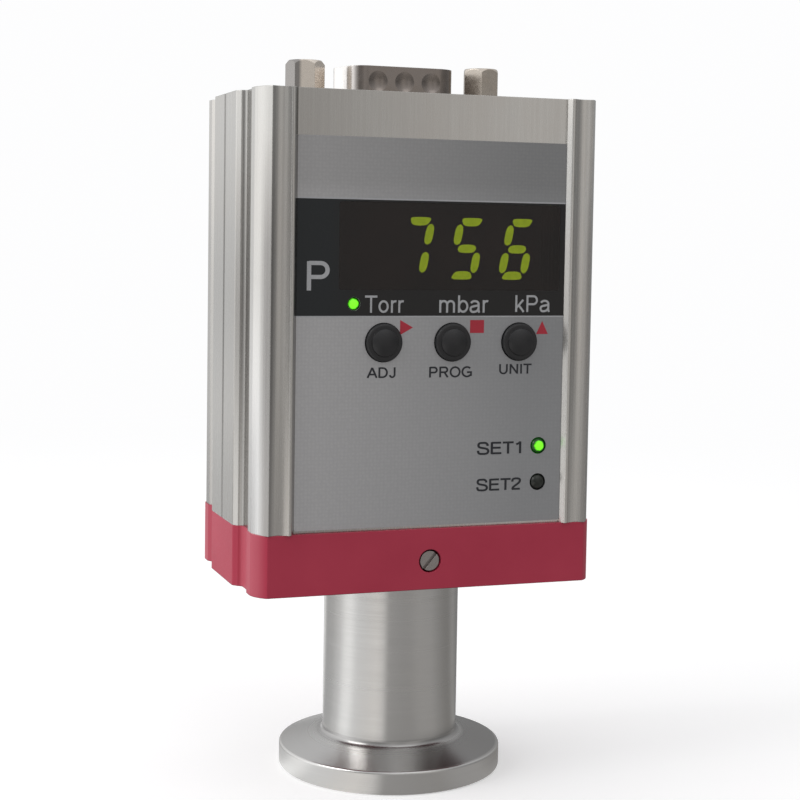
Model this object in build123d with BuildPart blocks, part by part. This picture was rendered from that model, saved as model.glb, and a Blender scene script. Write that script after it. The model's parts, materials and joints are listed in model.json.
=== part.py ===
from build123d import *
from math import cos, radians, sin, tan
import os

os.makedirs("parts", exist_ok=True)

# A small vacuum transducer that stands on its vacuum flange.
# Millimetres.  The origin is the centre of the flange's sealing face, +Z runs up
# the vacuum axis, and the display faces -Y.

# ---------------------------------------------------------------- dimensions
# vacuum flange and tube
flange_r = 15.0            # small flange, 30 mm across
rim_h = 3.0                # rim height under the clamp cone
cone_deg = 15.0            # clamp cone
seat_r = 8.6               # seat of the centring ring
seat_d = 2.6
bore_r = 8.0
tube_r = 9.1
spigot_r = 8.55            # top of the tube, welded into the cell housing

# red base cap
cap_z0 = 26.7
cap_z1 = 34.5
cap_floor = 28.7           # top of the cap's floor
cap_front = 14.9           # half depth of the cap's flat front

# extruded housing
top_z = 89.6
recess_y = 14.35           # floor of the front and rear recesses
recess_x = 18.05
panel_x = 23.65            # half width over the side panels
groove_d = 0.45            # depth of the groove behind each corner post
cav_x = 21.3               # half size of the inside
cav_y = 12.4
boss_x, boss_y, boss_r = 18.8, 9.9, 2.9
corners = [(sx * boss_x, sy * boss_y) for sx in (-1, 1) for sy in (-1, 1)]

# top panel and connector
panel_z0, panel_z1 = 88.3, 89.5
dsub_y = 1.8               # connector centre
dsub_w, dsub_h, dsub_cr = 16.92, 8.36, 2.6   # plug shell, outside
dsub_top = 93.9
jack_x = 12.495            # half of the jackscrew spacing
jack_top = 94.5
jack_af = 4.5              # across flats
jack_turn = (-17.0, 11.5)  # how the two hexagons happen to be turned
pin_pitch, row_pitch = 2.77, 2.84

# front: label, window, buttons and lamps
label_y = 14.6             # front of the label film
label_x = 18.03
label_z0, label_z1 = 34.9, 83.85
win_x0, win_x1 = -12.6, 17.35
win_z0, win_z1 = 64.9, 75.85
btn_z = 58.3
btn_pos = {"adj": -6.6, "prog": 2.65, "unit": 11.85}
btn_r = 2.4
btn_hole_r = 2.55
travel = 0.4               # button travel, towards +Y
unit_z = 63.15
unit_pos = {"torr": -10.6, "mbar": -0.8, "kpa": 9.65}
set_x = 14.85
set_pos = {"set1": 44.75, "set2": 40.0}

# boards
brd_y0, brd_y1 = -6.1, -4.5        # display board, front and back
main_y0, main_y1 = 5.0, 6.6        # main board
brd_z0 = 37.8
lock_z = 30.35                     # height of the two lock screws


def housing_quarter(front, corner_a, corner_mid, corner_b, flute):
    """Draw one quarter of the grooved outline, then mirror it twice."""
    if flute:
        Polyline((0, -recess_y), (-recess_x, -recess_y), (-recess_x, -14.62), (-18.42, -15.15))
        ThreePointArc((-18.42, -15.15), (-18.7, -15.34), (-18.98, -15.22))
        ThreePointArc((-18.98, -15.22), (-20.2, -14.87), corner_b)
    else:
        Line((0, -front), corner_b)
    ThreePointArc(corner_b, corner_mid, corner_a)
    side, floor = -corner_a[0], -corner_a[0] - groove_d
    Polyline(corner_a, (-side, -10.7), (-floor, -9.9), (-floor, -7.3))
    ThreePointArc((-floor, -7.3), (-floor - 0.11, -6.83), (-23.1, -6.5))
    Line((-23.1, -6.5), (-panel_x + 0.12, -5.95))
    ThreePointArc((-panel_x + 0.12, -5.95), (-panel_x + 0.03, -5.79), (-panel_x, -5.6))
    if flute:
        Polyline((-panel_x, -5.6), (-panel_x, -0.3), (-panel_x + 0.28, 0))
    else:
        Line((-panel_x, -5.6), (-panel_x, 0))
    mirror(about=Plane.XZ)
    mirror(about=Plane.YZ)


def d_outline(w, h, r):
    """Keystone outline of the connector, narrow side towards the front."""
    dx = h * tan(radians(10))
    Polygon((-w / 2 + dx, -h / 2), (w / 2 - dx, -h / 2), (w / 2, h / 2), (-w / 2, h / 2), align=None)
    fillet(vertices(), r)


# ---------------------------------------------------------------- vacuum side
# Turned in one piece: sealing face, rim, clamp cone, neck and welding spigot.
cone_z = rim_h + (flange_r - tube_r) * tan(radians(cone_deg))
with BuildPart() as kf_flange_tube:
    with BuildSketch(Plane.XZ):
        with BuildLine():
            Polyline(
                (seat_r, 0), (flange_r, 0), (flange_r, rim_h), (tube_r, cone_z),
                (tube_r, cap_floor), (spigot_r, cap_floor), (spigot_r, 31.0),
                (bore_r, 31.0), (bore_r, seat_d), (seat_r, seat_d), close=True,
            )
        make_face()
    revolve(axis=Axis.Z)
    neck = kf_flange_tube.edges().filter_by(GeomType.CIRCLE).filter_by(
        lambda e: abs(e.radius - tube_r) < 0.01 and abs(e.center().Z - cone_z) < 0.05)
    fillet(neck, 0.8)
    rim = kf_flange_tube.edges().filter_by(GeomType.CIRCLE).filter_by(
        lambda e: abs(e.radius - flange_r) < 0.01)
    fillet(rim, 0.35)
kf_flange_tube.part.label = "kf_flange_tube"
export_step(kf_flange_tube.part, "parts/kf_flange_tube.step")

# Perforated disc on top of the tube that keeps particles out of the cell.
with BuildPart() as port_baffle:
    with BuildSketch(Plane.XY.offset(31.0)):
        Circle(8.5)
        Circle(0.7, mode=Mode.SUBTRACT)
        with PolarLocations(3.0, 6):
            Circle(0.7, mode=Mode.SUBTRACT)
        with PolarLocations(5.8, 12):
            Circle(0.7, mode=Mode.SUBTRACT)
    extrude(amount=0.5)
port_baffle.part.label = "port_baffle"
export_step(port_baffle.part, "parts/port_baffle.step")

# Cup that holds the ceramic cell.  The lock screws bite into its base.
with BuildPart() as cell_housing:
    with BuildSketch(Plane.XZ):
        with BuildLine():
            Polyline(
                (8.6, cap_floor), (12.0, cap_floor), (12.0, 37.6), (10.6, 37.6),
                (10.6, 32.0), (bore_r, 32.0), (bore_r, 31.55), (8.6, 31.55), close=True,
            )
        make_face()
    revolve(axis=Axis.Z)
    for side in (-1, 1):
        with BuildSketch(Plane.XZ.offset(side * 12.5)):
            with Locations((0, lock_z)):
                Circle(1.3)
        extrude(amount=-side * 3.0, mode=Mode.SUBTRACT)
cell_housing.part.label = "cell_housing"
export_step(cell_housing.part, "parts/cell_housing.step")

with BuildPart() as cell_seal_ring:
    with BuildSketch(Plane.XZ):
        with Locations((9.4, 32.35)):
            RectangleRounded(1.6, 0.7, 0.3)
    revolve(axis=Axis.Z)
cell_seal_ring.part.label = "cell_seal_ring"
export_step(cell_seal_ring.part, "parts/cell_seal_ring.step")

# Ceramic base with the gas inlet and a shallow chamber under the diaphragm.
with BuildPart() as ceramic_base:
    with BuildSketch(Plane.XZ):
        with BuildLine():
            Polyline(
                (1.5, 32.7), (10.5, 32.7), (10.5, 34.6), (8.6, 34.6),
                (8.6, 34.45), (1.5, 34.45), close=True,
            )
        make_face()
    revolve(axis=Axis.Z)
ceramic_base.part.label = "ceramic_base"
export_step(ceramic_base.part, "parts/ceramic_base.step")

with BuildPart() as diaphragm:
    with BuildSketch(Plane.XY.offset(34.6)):
        Circle(10.5)
    extrude(amount=0.2)
diaphragm.part.label = "diaphragm"
export_step(diaphragm.part, "parts/diaphragm.step")

pin_spots = [(-5.2, -1.6), (-5.2, 1.6), (-2.2, 0)]
# Back plate of the cell, with the reference gap and three feedthrough holes.
with BuildPart() as electrode_plate:
    with BuildSketch(Plane.XY.offset(34.8)):
        Circle(10.5)
    extrude(amount=1.9)
    with BuildSketch(Plane.XY.offset(34.8)):
        Circle(8.6)
    extrude(amount=0.15, mode=Mode.SUBTRACT)
    with BuildSketch(Plane.XY.offset(34.8)):
        with Locations(*pin_spots):
            Circle(0.42)
    extrude(amount=1.9, mode=Mode.SUBTRACT)
electrode_plate.part.label = "electrode_plate"
export_step(electrode_plate.part, "parts/electrode_plate.step")

with BuildPart() as cell_clamp_ring:
    with BuildSketch(Plane.XY.offset(36.7)):
        Circle(10.55)
        Circle(8.8, mode=Mode.SUBTRACT)
        with PolarLocations(8.8, 4):
            Circle(0.8, mode=Mode.SUBTRACT)
    extrude(amount=0.9)
cell_clamp_ring.part.label = "cell_clamp_ring"
export_step(cell_clamp_ring.part, "parts/cell_clamp_ring.step")

# Small can that keeps the reference vacuum.
with BuildPart() as getter_pot:
    with BuildSketch(Plane(origin=(4.8, 0, 0), x_dir=(1, 0, 0), z_dir=(0, -1, 0))):
        with BuildLine():
            Polyline((0, 36.7), (2.6, 36.7), (2.6, 37.0), (2.2, 37.0), (2.2, 39.0), (0.6, 39.3), (0.6, 39.8), (0, 39.8), close=True)
        make_face()
    revolve(axis=Axis((4.8, 0, 0), (0, 0, 1)))
getter_pot.part.label = "getter_pot"
export_step(getter_pot.part, "parts/getter_pot.step")

with BuildPart() as feedthrough_pins:
    with BuildSketch(Plane.XY.offset(34.95)):
        with Locations(*pin_spots):
            Circle(0.35)
    extrude(amount=7.2)
feedthrough_pins.part.label = "feedthrough_pins"
export_step(feedthrough_pins.part, "parts/feedthrough_pins.step")

# ---------------------------------------------------------------- enclosure
cap_a, cap_mid, cap_b = (-23.02, -12.45), (-22.42, -13.98), (-21.45, -14.95)
with BuildPart() as base_cap:
    with BuildSketch(Plane.XY.offset(cap_z0)):
        with BuildLine():
            housing_quarter(cap_front, cap_a, cap_mid, cap_b, False)
        make_face()
    extrude(amount=cap_z1 - cap_z0)
    with BuildSketch(Plane.XY.offset(cap_floor)):
        RectangleRounded(2 * cav_x, 2 * 12.7, 1.2)
        with Locations(*corners):
            Circle(boss_r, mode=Mode.SUBTRACT)
        with Locations(*[(sx * 20.3, sy * 11.5) for sx in (-1, 1) for sy in (-1, 1)]):
            Rectangle(3.0, 3.2, mode=Mode.SUBTRACT)
    extrude(amount=cap_z1 - cap_floor, mode=Mode.SUBTRACT)
    # four posts that carry the edges of the two boards
    with BuildSketch(Plane.XY.offset(cap_floor - 0.2)):
        with Locations(*[(sx * 20.3, y) for sx in (-1, 1) for y in (-5.3, 5.8)]):
            Rectangle(1.7, 1.5)
    extrude(amount=brd_z0 - cap_floor + 0.2)
    # way through for the tube and the corner screws
    with BuildSketch(Plane.XY.offset(cap_z0)):
        Circle(tube_r + 0.12)
        with Locations(*corners):
            Circle(1.35)
    extrude(amount=cap_z1 - cap_z0, mode=Mode.SUBTRACT)
    with Locations(*[Location((x, y, cap_z0), (180, 0, 0)) for x, y in corners]):
        CounterSinkHole(1.35, 2.5, depth=3.0)
    # holes of the lock screws, front and rear
    for side in (-1, 1):
        with BuildSketch(Plane.XZ.offset(side * 16.0)):
            with Locations((0, lock_z)):
                Circle(1.5)
        extrude(amount=-side * 4.0, mode=Mode.SUBTRACT)
base_cap.part.label = "base_cap"
export_step(base_cap.part, "parts/base_cap.step")

# Slotted screws that hold the cap on the cell housing: front and rear.
with BuildPart() as lock_screws:
    for side in (-1, 1):
        with BuildSketch(Plane.XZ.offset(side * 14.72)):
            with Locations((0, lock_z)):
                Circle(1.27)
        extrude(amount=-side * 4.9)
        with BuildSketch(Plane.XZ.offset(side * 14.72)):
            with Locations(Location((0, lock_z), 50)):
                Rectangle(3.0, 0.42)
        extrude(amount=-side * 0.55, mode=Mode.SUBTRACT)
lock_screws.part.label = "lock_screws"
export_step(lock_screws.part, "parts/lock_screws.step")

# Countersunk screws up through the cap into the housing's corner bosses.
with BuildPart() as cap_screws:
    for x, y in corners:
        with BuildSketch(Plane(origin=(x, y, 0), x_dir=(1, 0, 0), z_dir=(0, -1, 0))):
            with BuildLine():
                Polyline((0, 26.8), (2.3, 26.8), (1.2, 27.9), (1.2, 41.5), (0, 41.5), close=True)
            make_face()
        revolve(axis=Axis((x, y, 0), (0, 0, 1)))
    with BuildSketch(Plane.XY.offset(26.8)):
        with Locations(*corners):
            Rectangle(2.2, 0.5)
            Rectangle(0.5, 2.2)
    extrude(amount=0.6, mode=Mode.SUBTRACT)
cap_screws.part.label = "cap_screws"
export_step(cap_screws.part, "parts/cap_screws.step")

# Extruded housing: grooved corner posts, side panels, recessed front and back.
post_a, post_mid, post_b = (-22.9, -12.35), (-22.27, -14.05), (-21.42, -15.22)
with BuildPart() as housing_extrusion:
    with BuildSketch(Plane.XY.offset(cap_z1)):
        with BuildLine():
            housing_quarter(recess_y, post_a, post_mid, post_b, True)
        make_face()
    extrude(amount=top_z - cap_z1)
    with BuildSketch(Plane.XY.offset(cap_z1)):
        RectangleRounded(2 * cav_x, 2 * cav_y, 0.8)
        with Locations(*corners):
            Circle(boss_r, mode=Mode.SUBTRACT)
        with Locations(*[(sx * 20.3, sy * 11.4) for sx in (-1, 1) for sy in (-1, 1)]):
            Rectangle(3.0, 3.0, mode=Mode.SUBTRACT)
        # rails of the board slots
        with Locations(*[(sx * 20.8, y) for sx in (-1, 1) for y in (-6.65, -3.95, 4.45)]):
            Rectangle(1.1, 0.9, mode=Mode.SUBTRACT)
    extrude(amount=top_z - cap_z1, mode=Mode.SUBTRACT)
    # bosses and rails are milled back for the top panel
    with BuildSketch(Plane.XY.offset(panel_z0)):
        RectangleRounded(2 * cav_x, 2 * cav_y, 0.8)
    extrude(amount=2.0, mode=Mode.SUBTRACT)
    with BuildSketch(Plane.XY.offset(cap_z1)):
        with Locations(*corners):
            Circle(1.25)
    extrude(amount=top_z - cap_z1, mode=Mode.SUBTRACT)
    # front openings: window, buttons and lamps
    with BuildSketch(Plane.XZ.offset(16.0)):
        with Locations(((win_x0 + win_x1) / 2, (win_z0 + win_z1) / 2)):
            RectangleRounded(win_x1 - win_x0 + 0.1, win_z1 - win_z0 + 0.1, 0.4)
        with Locations(*[(x, btn_z) for x in btn_pos.values()]):
            Circle(btn_hole_r)
        with Locations(*[(x, unit_z) for x in unit_pos.values()]):
            Circle(1.05)
        with Locations(*[(set_x, z) for z in set_pos.values()]):
            Circle(1.12)
    extrude(amount=-4.5, mode=Mode.SUBTRACT)
housing_extrusion.part.label = "housing_extrusion"
export_step(housing_extrusion.part, "parts/housing_extrusion.step")

# Plate let into the top of the housing.
with BuildPart() as top_panel:
    with BuildSketch(Plane.XY.offset(panel_z0)):
        RectangleRounded(2 * cav_x - 0.16, 2 * cav_y - 0.16, 0.8)
    extrude(amount=panel_z1 - panel_z0)
    with BuildSketch(Plane.XY.offset(panel_z0)) as cut:
        with Locations((-jack_x, dsub_y), (jack_x, dsub_y)):
            Circle(1.6)
    extrude(amount=panel_z1 - panel_z0, mode=Mode.SUBTRACT)
    with BuildSketch(Plane(origin=(0, dsub_y, panel_z0), x_dir=(1, 0, 0), z_dir=(0, 0, 1))):
        d_outline(dsub_w + 0.6, dsub_h + 0.6, dsub_cr + 0.3)
    extrude(amount=panel_z1 - panel_z0, mode=Mode.SUBTRACT)
    with Locations(*[(x, y, panel_z1) for x, y in corners]):
        CounterSinkHole(1.35, 2.2, depth=2.0)
top_panel.part.label = "top_panel"
export_step(top_panel.part, "parts/top_panel.step")

with BuildPart() as panel_screws:
    for x, y in corners:
        with BuildSketch(Plane(origin=(x, y, 0), x_dir=(1, 0, 0), z_dir=(0, -1, 0))):
            with BuildLine():
                Polyline((0, 89.45), (2.1, 89.45), (1.2, 88.55), (1.2, 80.5), (0, 80.5), close=True)
            make_face()
        revolve(axis=Axis((x, y, 0), (0, 0, 1)))
    with BuildSketch(Plane.XY.offset(89.45)):
        with Locations(*corners):
            Rectangle(2.1, 0.5)
            Rectangle(0.5, 2.1)
    extrude(amount=-0.6, mode=Mode.SUBTRACT)
panel_screws.part.label = "panel_screws"
export_step(panel_screws.part, "parts/panel_screws.step")

# ---------------------------------------------------------------- connector
dsub_plane = Plane(origin=(0, dsub_y, 0), x_dir=(1, 0, 0), z_dir=(0, 0, 1))
dimple_x = (-3.7, 0.0, 3.7)
dimple_z = 91.9
# Drawn metal shell with its flange under the panel, and three pressed dimples
# on each long side.
with BuildPart() as dimple_balls:
    for s in (-1, 1):
        for x in dimple_x:
            with Locations((x, dsub_y + s * (dsub_h / 2 + 2.0), dimple_z)):
                Sphere(2.9)
with BuildPart() as dimple_core:
    with BuildSketch(dsub_plane.offset(88.9)):
        d_outline(dsub_w - 0.6, dsub_h - 0.6, dsub_cr - 0.3)
    extrude(amount=5.0)
    add(dimple_balls.part, mode=Mode.INTERSECT)
with BuildPart() as dsub_front_shell:
    with BuildSketch(dsub_plane.offset(87.8)):
        RectangleRounded(30.81, 12.5, 1.2)
    extrude(amount=0.5)
    with BuildSketch(dsub_plane.offset(87.8)):
        d_outline(dsub_w, dsub_h, dsub_cr)
    extrude(amount=dsub_top - 87.8)
    with BuildSketch(dsub_plane.offset(87.8)):
        d_outline(dsub_w - 1.0, dsub_h - 1.0, dsub_cr - 0.5)
    extrude(amount=dsub_top - 87.8, mode=Mode.SUBTRACT)
    add(dimple_core.part)
    for s in (-1, 1):
        for x in dimple_x:
            with Locations((x, dsub_y + s * (dsub_h / 2 + 2.0), dimple_z)):
                Sphere(2.4, mode=Mode.SUBTRACT)
    with BuildSketch(dsub_plane.offset(87.8)):
        with Locations((-jack_x, 0), (jack_x, 0)):
            Circle(1.6)
    extrude(amount=0.5, mode=Mode.SUBTRACT)
dsub_front_shell.part.label = "dsub_front_shell"
export_step(dsub_front_shell.part, "parts/dsub_front_shell.step")

with BuildPart() as dsub_rear_shell:
    with BuildSketch(dsub_plane.offset(87.3)):
        RectangleRounded(30.81, 12.5, 1.2)
    extrude(amount=0.5)
    with BuildSketch(dsub_plane.offset(81.8)):
        RectangleRounded(19.3, 10.7, 2.0)
    extrude(amount=5.5)
    with BuildSketch(dsub_plane.offset(81.8)):
        RectangleRounded(18.5, 9.9, 1.6)
    extrude(amount=6.0, mode=Mode.SUBTRACT)
    with BuildSketch(dsub_plane.offset(87.3)):
        with Locations((-jack_x, 0), (jack_x, 0)):
            Circle(1.6)
    extrude(amount=0.5, mode=Mode.SUBTRACT)
dsub_rear_shell.part.label = "dsub_rear_shell"
export_step(dsub_rear_shell.part, "parts/dsub_rear_shell.step")

pins = [(i * pin_pitch, row_pitch / 2) for i in (-2, -1, 0, 1, 2)]
pins += [(i * pin_pitch, -row_pitch / 2) for i in (-1.5, -0.5, 0.5, 1.5)]
with BuildPart() as dsub_insulator:
    with BuildSketch(dsub_plane.offset(80.0)):
        RectangleRounded(18.4, 9.8, 1.5)
    extrude(amount=7.75)
    with BuildSketch(dsub_plane.offset(87.75)):
        d_outline(dsub_w - 1.1, dsub_h - 1.1, dsub_cr - 0.55)
    extrude(amount=1.15)
    with BuildSketch(dsub_plane.offset(80.0)):
        with Locations(*pins):
            Circle(0.55)
    extrude(amount=8.9, mode=Mode.SUBTRACT)
dsub_insulator.part.label = "dsub_insulator"
export_step(dsub_insulator.part, "parts/dsub_insulator.step")

with BuildPart() as dsub_pins:
    with BuildSketch(dsub_plane.offset(79.0)):
        with Locations(*pins):
            Circle(0.5)
    extrude(amount=14.6)
    fillet(dsub_pins.faces().group_by(Axis.Z)[-1].edges(), 0.35)
    with BuildSketch(dsub_plane.offset(76.75)):
        with Locations(*pins):
            Circle(0.32)
    extrude(amount=2.3)
dsub_pins.part.label = "dsub_pins"
export_step(dsub_pins.part, "parts/dsub_pins.step")

# Hexagonal female jackscrews, chamfered at the top, studs down through the panel.
jack_ac = jack_af / cos(radians(30)) / 2
with BuildPart() as crowns:
    for x in (-jack_x, jack_x):
        with BuildSketch(Plane(origin=(x, dsub_y, 0), x_dir=(1, 0, 0), z_dir=(0, -1, 0))):
            with BuildLine():
                Polyline((0, panel_z1), (3.0, panel_z1), (3.0, jack_top - 1.05), (2.18, jack_top), (0, jack_top), close=True)
            make_face()
        revolve(axis=Axis((x, dsub_y, 0), (0, 0, 1)))
with BuildPart() as jackscrews:
    for x, turn in zip((-jack_x, jack_x), jack_turn):
        hex_plane = Plane(origin=(x, dsub_y, panel_z1), x_dir=(1, 0, 0), z_dir=(0, 0, 1))
        with BuildSketch(hex_plane):
            RegularPolygon(jack_ac, 6, rotation=turn)
        extrude(amount=jack_top - panel_z1)
    add(crowns.part, mode=Mode.INTERSECT)
    with BuildSketch(dsub_plane.offset(panel_z1)):
        with Locations((-jack_x, 0), (jack_x, 0)):
            Circle(1.4)
    extrude(amount=-6.0)
    with BuildSketch(dsub_plane.offset(jack_top)):
        with Locations((-jack_x, 0), (jack_x, 0)):
            Circle(1.25)
    extrude(amount=-4.4, mode=Mode.SUBTRACT)
jackscrews.part.label = "jackscrews"
export_step(jackscrews.part, "parts/jackscrews.step")

with BuildPart() as jackscrew_nuts:
    with BuildSketch(dsub_plane.offset(87.3)):
        with Locations((-jack_x, 0), (jack_x, 0)):
            RegularPolygon(2.75, 6)
            Circle(1.42, mode=Mode.SUBTRACT)
    extrude(amount=-2.2)
jackscrew_nuts.part.label = "jackscrew_nuts"
export_step(jackscrew_nuts.part, "parts/jackscrew_nuts.step")

with BuildPart() as connector_board:
    with BuildSketch(Plane.XY.offset(77.0)):
        with Locations((0, 2.4)):
            Rectangle(31.0, 13.0)
        with Locations(*[(x, y + dsub_y) for x, y in pins]):
            Circle(0.4, mode=Mode.SUBTRACT)
    extrude(amount=1.4)
connector_board.part.label = "connector_board"
export_step(connector_board.part, "parts/connector_board.step")

# ---------------------------------------------------------------- front
with BuildPart() as front_label:
    with BuildSketch(Plane.XZ.offset(recess_y)):
        with Locations((0, (label_z0 + label_z1) / 2)):
            RectangleRounded(2 * label_x, label_z1 - label_z0, 0.3)
        with Locations(((win_x0 + win_x1) / 2, (win_z0 + win_z1) / 2)):
            RectangleRounded(win_x1 - win_x0 + 0.06, win_z1 - win_z0 + 0.06, 0.4, mode=Mode.SUBTRACT)
        with Locations(*[(x, btn_z) for x in btn_pos.values()]):
            Circle(btn_hole_r - 0.05, mode=Mode.SUBTRACT)
        # only the first unit lamp comes through, the others shine from behind
        with Locations((unit_pos["torr"], unit_z)):
            Circle(0.85, mode=Mode.SUBTRACT)
        with Locations(*[(set_x, z) for z in set_pos.values()]):
            Circle(1.1, mode=Mode.SUBTRACT)
    extrude(amount=label_y - recess_y)
front_label.part.label = "front_label"
export_step(front_label.part, "parts/front_label.step")

with BuildPart() as display_window:
    with BuildSketch(Plane.XZ.offset(cav_y)):
        with Locations(((win_x0 + win_x1) / 2, (win_z0 + win_z1) / 2)):
            RectangleRounded(win_x1 - win_x0, win_z1 - win_z0, 0.4)
    extrude(amount=label_y - cav_y)
display_window.part.label = "display_window"
export_step(display_window.part, "parts/display_window.step")

# Seven-segment block: four digit cells in one moulded body with its pins.
mod_x, mod_z, mod_w, mod_h = 1.6, 70.3, 28.4, 12.0
with BuildPart() as led_display_module:
    with BuildSketch(Plane.XZ.offset(-brd_y0)):
        with Locations((mod_x, mod_z)):
            Rectangle(mod_w, mod_h)
    extrude(amount=12.3 + brd_y0)
    chamfer(led_display_module.faces().sort_by(Axis.Y)[0].edges(), 0.2)
    with BuildSketch(Plane.XZ.offset(-brd_y0)):
        with Locations((mod_x, mod_z - 5.08), (mod_x, mod_z + 5.08)):
            with GridLocations(2.54, 1, 6, 1):
                Circle(0.25)
    extrude(amount=-2.6)
led_display_module.part.label = "led_display_module"
export_step(led_display_module.part, "parts/led_display_module.step")

# Push buttons: stepped, domed caps with a retaining flange behind the wall,
# each pressing the plunger of its own switch.
for tag, bx in btn_pos.items():
    axis = Axis((bx, 0, btn_z), (0, 1, 0))
    half_plane = Plane(origin=(bx, 0, btn_z), x_dir=(1, 0, 0), z_dir=(0, 0, 1))
    with BuildPart() as button:
        with BuildSketch(half_plane):
            with BuildLine():
                ThreePointArc((0, -15.85), (0.95, -15.73), (1.72, -15.35))
                Polyline((1.72, -15.35), (1.8, -15.16), (2.06, -15.16))
                ThreePointArc((2.06, -15.16), (2.31, -15.06), (btn_r, -14.8))
                Polyline(
                    (btn_r, -14.8), (btn_r, -12.1), (3.2, -12.1), (3.2, -11.4),
                    (1.5, -11.4), (1.5, -10.6), (0, -10.6), (0, -15.85),
                )
            make_face()
        revolve(axis=axis)
    button.part.label = "button_" + tag
    export_step(button.part, "parts/button_" + tag + ".step")

    with BuildPart() as plunger:
        with BuildSketch(half_plane):
            with BuildLine():
                Polyline((0, -10.6), (1.7, -10.6), (1.7, -8.9), (2.2, -8.9), (2.2, -8.3), (0, -8.3), close=True)
            make_face()
        revolve(axis=axis)
    plunger.part.label = "switch_plunger_" + tag
    export_step(plunger.part, "parts/switch_plunger_" + tag + ".step")

    with BuildPart() as tact_switch:
        with BuildSketch(Plane.XZ.offset(-brd_y0)):
            with Locations((bx, btn_z)):
                RectangleRounded(6.0, 6.0, 0.3)
        extrude(amount=3.5)
        with BuildSketch(half_plane):
            with BuildLine():
                Polyline((0, -9.9), (1.82, -9.9), (1.82, -9.0), (2.4, -9.0), (2.4, -7.4), (0, -7.4), close=True)
            make_face()
        revolve(axis=axis, mode=Mode.SUBTRACT)
    tact_switch.part.label = "tact_switch_" + tag
    export_step(tact_switch.part, "parts/tact_switch_" + tag + ".step")

# Lamps: domed lens, collar behind the wall, two legs to the display board.
lamps = {"led_" + k: (x, unit_z, 0.8, -14.62 if k == "torr" else -14.25) for k, x in unit_pos.items()}
lamps.update({"led_" + k: (set_x, z, 0.98, -15.05) for k, z in set_pos.items()})
for name, (lx, lz, lr, tip) in lamps.items():
    with BuildPart() as lamp:
        with BuildSketch(Plane(origin=(lx, 0, lz), x_dir=(1, 0, 0), z_dir=(0, 0, 1))):
            with BuildLine():
                rise = 0.32 if lr < 0.9 else 0.62
                ThreePointArc((0, tip), (lr * 0.62, tip + rise * 0.26), (lr, tip + rise))
                Polyline((lr, tip + rise), (lr, -12.2), (1.1, -12.2), (1.1, -11.5), (0, -11.5), (0, tip))
            make_face()
        revolve(axis=Axis((lx, 0, lz), (0, 1, 0)))
        with BuildSketch(Plane.XZ.offset(11.6)):
            with Locations((lx - 0.6, lz), (lx + 0.6, lz)):
                Rectangle(0.4, 0.4)
        extrude(amount=-(11.6 + brd_y0))
    lamp.part.label = name
    export_step(lamp.part, "parts/" + name + ".step")

# ---------------------------------------------------------------- boards
with BuildPart() as display_board:
    with BuildSketch(Plane.XZ.offset(-brd_y0)):
        with Locations((0, (brd_z0 + 78.4) / 2)):
            Rectangle(42.2, 78.4 - brd_z0)
        with Locations((mod_x, mod_z - 5.08), (mod_x, mod_z + 5.08)):
            with GridLocations(2.54, 1, 6, 1):
                Circle(0.35, mode=Mode.SUBTRACT)
    extrude(amount=brd_y0 - brd_y1)
display_board.part.label = "display_board"
export_step(display_board.part, "parts/display_board.step")

with BuildPart() as main_board:
    with BuildSketch(Plane.XZ.offset(-main_y0)):
        with Locations((0, (brd_z0 + 76.6) / 2)):
            Rectangle(42.2, 76.6 - brd_z0)
    extrude(amount=main_y0 - main_y1)
main_board.part.label = "main_board"
export_step(main_board.part, "parts/main_board.step")

with BuildPart() as processor_chip:
    with BuildSketch(Plane.XZ.offset(-main_y1)):
        with Locations((-8, 60)):
            Rectangle(9.0, 9.0)
    extrude(amount=-1.2)
    chamfer(processor_chip.faces().sort_by(Axis.Y)[-1].edges(), 0.2)
processor_chip.part.label = "processor_chip"
export_step(processor_chip.part, "parts/processor_chip.step")

with BuildPart() as converter_chip:
    with BuildSketch(Plane.XZ.offset(-main_y1)):
        with Locations((7, 50)):
            Rectangle(6.2, 5.0)
    extrude(amount=-1.5)
    chamfer(converter_chip.faces().sort_by(Axis.Y)[-1].edges(), 0.2)
converter_chip.part.label = "converter_chip"
export_step(converter_chip.part, "parts/converter_chip.step")

# Two identical set-point relays on the inner side of the main board.
with BuildPart() as setpoint_relays:
    with BuildSketch(Plane.XZ.offset(-main_y0)):
        with Locations((-9, 69), (9, 69)):
            RectangleRounded(10.0, 6.5, 0.4)
    extrude(amount=5.2)
setpoint_relays.part.label = "setpoint_relays"
export_step(setpoint_relays.part, "parts/setpoint_relays.step")

with BuildPart() as bulk_capacitors:
    with BuildSketch(Plane.XZ.offset(-main_y0)):
        with Locations((-12.5, 49), (-12.5, 56)):
            Circle(2.5)
    extrude(amount=6.0)
    fillet(bulk_capacitors.faces().group_by(Axis.Y)[0].edges(), 0.3)
bulk_capacitors.part.label = "bulk_capacitors"
export_step(bulk_capacitors.part, "parts/bulk_capacitors.step")

with BuildPart() as power_inductor:
    with BuildSketch(Plane.XZ.offset(-main_y0)):
        with Locations((12, 52)):
            RectangleRounded(7.0, 7.0, 1.5)
    extrude(amount=3.6)
power_inductor.part.label = "power_inductor"
export_step(power_inductor.part, "parts/power_inductor.step")

# Pin strip on the display board and the tall socket it enters on the main board.
with BuildPart() as link_socket:
    with BuildSketch(Plane.XZ.offset(-main_y0)):
        with Locations((0, 56)):
            Rectangle(2.5, 15.3)
        with Locations((0, 56)):
            with GridLocations(1, 2.54, 1, 6):
                Rectangle(0.8, 0.8, mode=Mode.SUBTRACT)
    extrude(amount=6.8)
link_socket.part.label = "link_socket"
export_step(link_socket.part, "parts/link_socket.step")

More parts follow.
